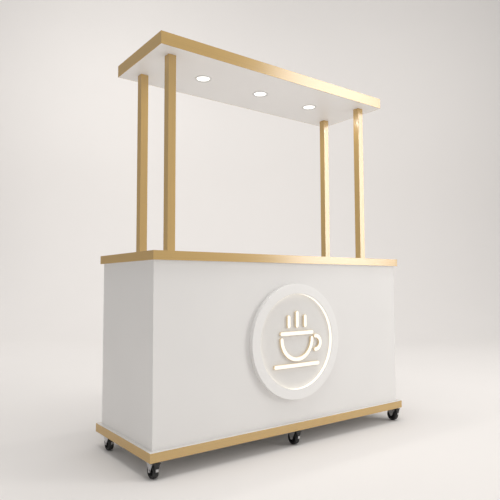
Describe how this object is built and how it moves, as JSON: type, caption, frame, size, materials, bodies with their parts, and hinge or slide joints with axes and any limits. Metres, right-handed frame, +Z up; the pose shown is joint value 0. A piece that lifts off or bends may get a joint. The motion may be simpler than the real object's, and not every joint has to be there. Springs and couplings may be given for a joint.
{
  "type": "kiosk cart",
  "caption": "Mobile kiosk cart: white cabinet with gold edge bands, square posts carrying a lit canopy, a round lit sign, open rear shelves and braked swivel casters.",
  "frame": {"origin": "on the floor, under the middle of the cart", "axes": "+X along the counter to the right as a customer sees it, +Y to the open back, +Z up"},
  "size_m": [1.848, 0.69, 2.203],
  "materials": {
    "white_board": "satin white lacquer",
    "gold_band": "satin gold",
    "gold_post": "satin gold",
    "frame_steel": "white powder coat",
    "zinc_steel": "zinc plated",
    "sign_white": "satin white lacquer",
    "lit_ring": "translucent, lit from behind",
    "light_trim": "matt white",
    "lit_lens": "translucent, lit from behind",
    "driver_case": "matt light grey",
    "black_plastic": "moulded",
    "switch_plastic": "moulded",
    "hub_plastic": "moulded",
    "caster_rubber": "matt",
    "pedal_plastic": "moulded"
  },
  "bodies": {
    "cart": {"front_panel": "white_board", "left_end_panel": "white_board", "right_end_panel": "white_board", "centre_divider": "white_board", "back_rail": "white_board", "shelves": "white_board", "base_deck": "white_board", "countertop": "white_board", "soffit_panel": "white_board", "roof_panel": "white_board", "base_edge_trim": "gold_band", "counter_edge_trim": "gold_band", "canopy_edge_trim": "gold_band", "post_front_left": "gold_post", "post_front_right": "gold_post", "post_back_left": "gold_post", "post_back_right": "gold_post", "base_frame": "frame_steel", "canopy_frame": "frame_steel", "post_plugs": "zinc_steel", "shelf_pegs": "zinc_steel", "caster_plates": "zinc_steel", "sign_housing": "sign_white", "sign_lights": "lit_ring", "downlight_housings": "light_trim", "downlight_lenses": "lit_lens", "light_driver": "driver_case", "power_inlet": "black_plastic"},
    "switch_rocker": {"power_switch": "switch_plastic"},
    "swivel_front_left": {"caster_fork_front_left": "zinc_steel", "caster_axle_front_left": "zinc_steel"},
    "wheel_front_left": {"caster_hub_front_left": "hub_plastic", "caster_tyre_front_left": "caster_rubber"},
    "pedal_front_left": {"brake_pedal_front_left": "pedal_plastic"},
    "swivel_front_middle": {"caster_fork_front_middle": "zinc_steel", "caster_axle_front_middle": "zinc_steel"},
    "wheel_front_middle": {"caster_hub_front_middle": "hub_plastic", "caster_tyre_front_middle": "caster_rubber"},
    "pedal_front_middle": {"brake_pedal_front_middle": "pedal_plastic"},
    "swivel_front_right": {"caster_fork_front_right": "zinc_steel", "caster_axle_front_right": "zinc_steel"},
    "wheel_front_right": {"caster_hub_front_right": "hub_plastic", "caster_tyre_front_right": "caster_rubber"},
    "pedal_front_right": {"brake_pedal_front_right": "pedal_plastic"},
    "swivel_back_left": {"caster_fork_back_left": "zinc_steel", "caster_axle_back_left": "zinc_steel"},
    "wheel_back_left": {"caster_hub_back_left": "hub_plastic", "caster_tyre_back_left": "caster_rubber"},
    "pedal_back_left": {"brake_pedal_back_left": "pedal_plastic"},
    "swivel_back_middle": {"caster_fork_back_middle": "zinc_steel", "caster_axle_back_middle": "zinc_steel"},
    "wheel_back_middle": {"caster_hub_back_middle": "hub_plastic", "caster_tyre_back_middle": "caster_rubber"},
    "pedal_back_middle": {"brake_pedal_back_middle": "pedal_plastic"},
    "swivel_back_right": {"caster_fork_back_right": "zinc_steel", "caster_axle_back_right": "zinc_steel"},
    "wheel_back_right": {"caster_hub_back_right": "hub_plastic", "caster_tyre_back_right": "caster_rubber"},
    "pedal_back_right": {"brake_pedal_back_right": "pedal_plastic"}
  },
  "joints": [
    {"name": "light_switch", "type": "hinge", "parent": "cart", "child": "switch_rocker", "pos_m": [0.64, 0.3185, 0.992], "axis": [1, 0, 0], "range_deg": [-14.4, 0]},
    {"name": "swivel_turn_front_left", "type": "hinge", "parent": "cart", "child": "swivel_front_left", "pos_m": [-0.886, -0.27, 0.08], "axis": [0, 0, 1], "continuous": true},
    {"name": "wheel_spin_front_left", "type": "hinge", "parent": "swivel_front_left", "child": "wheel_front_left", "pos_m": [-0.886, -0.298, 0.0375], "axis": [1, 0, 0], "continuous": true},
    {"name": "brake_press_front_left", "type": "hinge", "parent": "swivel_front_left", "child": "pedal_front_left", "pos_m": [-0.886, -0.319, 0.075], "axis": [1, 0, 0], "range_deg": [0, 10.4]},
    {"name": "swivel_turn_front_middle", "type": "hinge", "parent": "cart", "child": "swivel_front_middle", "pos_m": [0, -0.27, 0.08], "axis": [0, 0, 1], "continuous": true},
    {"name": "wheel_spin_front_middle", "type": "hinge", "parent": "swivel_front_middle", "child": "wheel_front_middle", "pos_m": [0, -0.298, 0.0375], "axis": [1, 0, 0], "continuous": true},
    {"name": "brake_press_front_middle", "type": "hinge", "parent": "swivel_front_middle", "child": "pedal_front_middle", "pos_m": [0, -0.319, 0.075], "axis": [1, 0, 0], "range_deg": [0, 10.4]},
    {"name": "swivel_turn_front_right", "type": "hinge", "parent": "cart", "child": "swivel_front_right", "pos_m": [0.886, -0.27, 0.08], "axis": [0, 0, 1], "continuous": true},
    {"name": "wheel_spin_front_right", "type": "hinge", "parent": "swivel_front_right", "child": "wheel_front_right", "pos_m": [0.886, -0.298, 0.0375], "axis": [1, 0, 0], "continuous": true},
    {"name": "brake_press_front_right", "type": "hinge", "parent": "swivel_front_right", "child": "pedal_front_right", "pos_m": [0.886, -0.319, 0.075], "axis": [1, 0, 0], "range_deg": [0, 10.4]},
    {"name": "swivel_turn_back_left", "type": "hinge", "parent": "cart", "child": "swivel_back_left", "pos_m": [-0.886, 0.27, 0.08], "axis": [0, 0, 1], "continuous": true},
    {"name": "wheel_spin_back_left", "type": "hinge", "parent": "swivel_back_left", "child": "wheel_back_left", "pos_m": [-0.886, 0.242, 0.0375], "axis": [1, 0, 0], "continuous": true},
    {"name": "brake_press_back_left", "type": "hinge", "parent": "swivel_back_left", "child": "pedal_back_left", "pos_m": [-0.886, 0.221, 0.075], "axis": [1, 0, 0], "range_deg": [0, 10.4]},
    {"name": "swivel_turn_back_middle", "type": "hinge", "parent": "cart", "child": "swivel_back_middle", "pos_m": [0, 0.27, 0.08], "axis": [0, 0, 1], "continuous": true},
    {"name": "wheel_spin_back_middle", "type": "hinge", "parent": "swivel_back_middle", "child": "wheel_back_middle", "pos_m": [0, 0.242, 0.0375], "axis": [1, 0, 0], "continuous": true},
    {"name": "brake_press_back_middle", "type": "hinge", "parent": "swivel_back_middle", "child": "pedal_back_middle", "pos_m": [0, 0.221, 0.075], "axis": [1, 0, 0], "range_deg": [0, 10.4]},
    {"name": "swivel_turn_back_right", "type": "hinge", "parent": "cart", "child": "swivel_back_right", "pos_m": [0.886, 0.27, 0.08], "axis": [0, 0, 1], "continuous": true},
    {"name": "wheel_spin_back_right", "type": "hinge", "parent": "swivel_back_right", "child": "wheel_back_right", "pos_m": [0.886, 0.242, 0.0375], "axis": [1, 0, 0], "continuous": true},
    {"name": "brake_press_back_right", "type": "hinge", "parent": "swivel_back_right", "child": "pedal_back_right", "pos_m": [0.886, 0.221, 0.075], "axis": [1, 0, 0], "range_deg": [0, 10.4]}
  ]
}
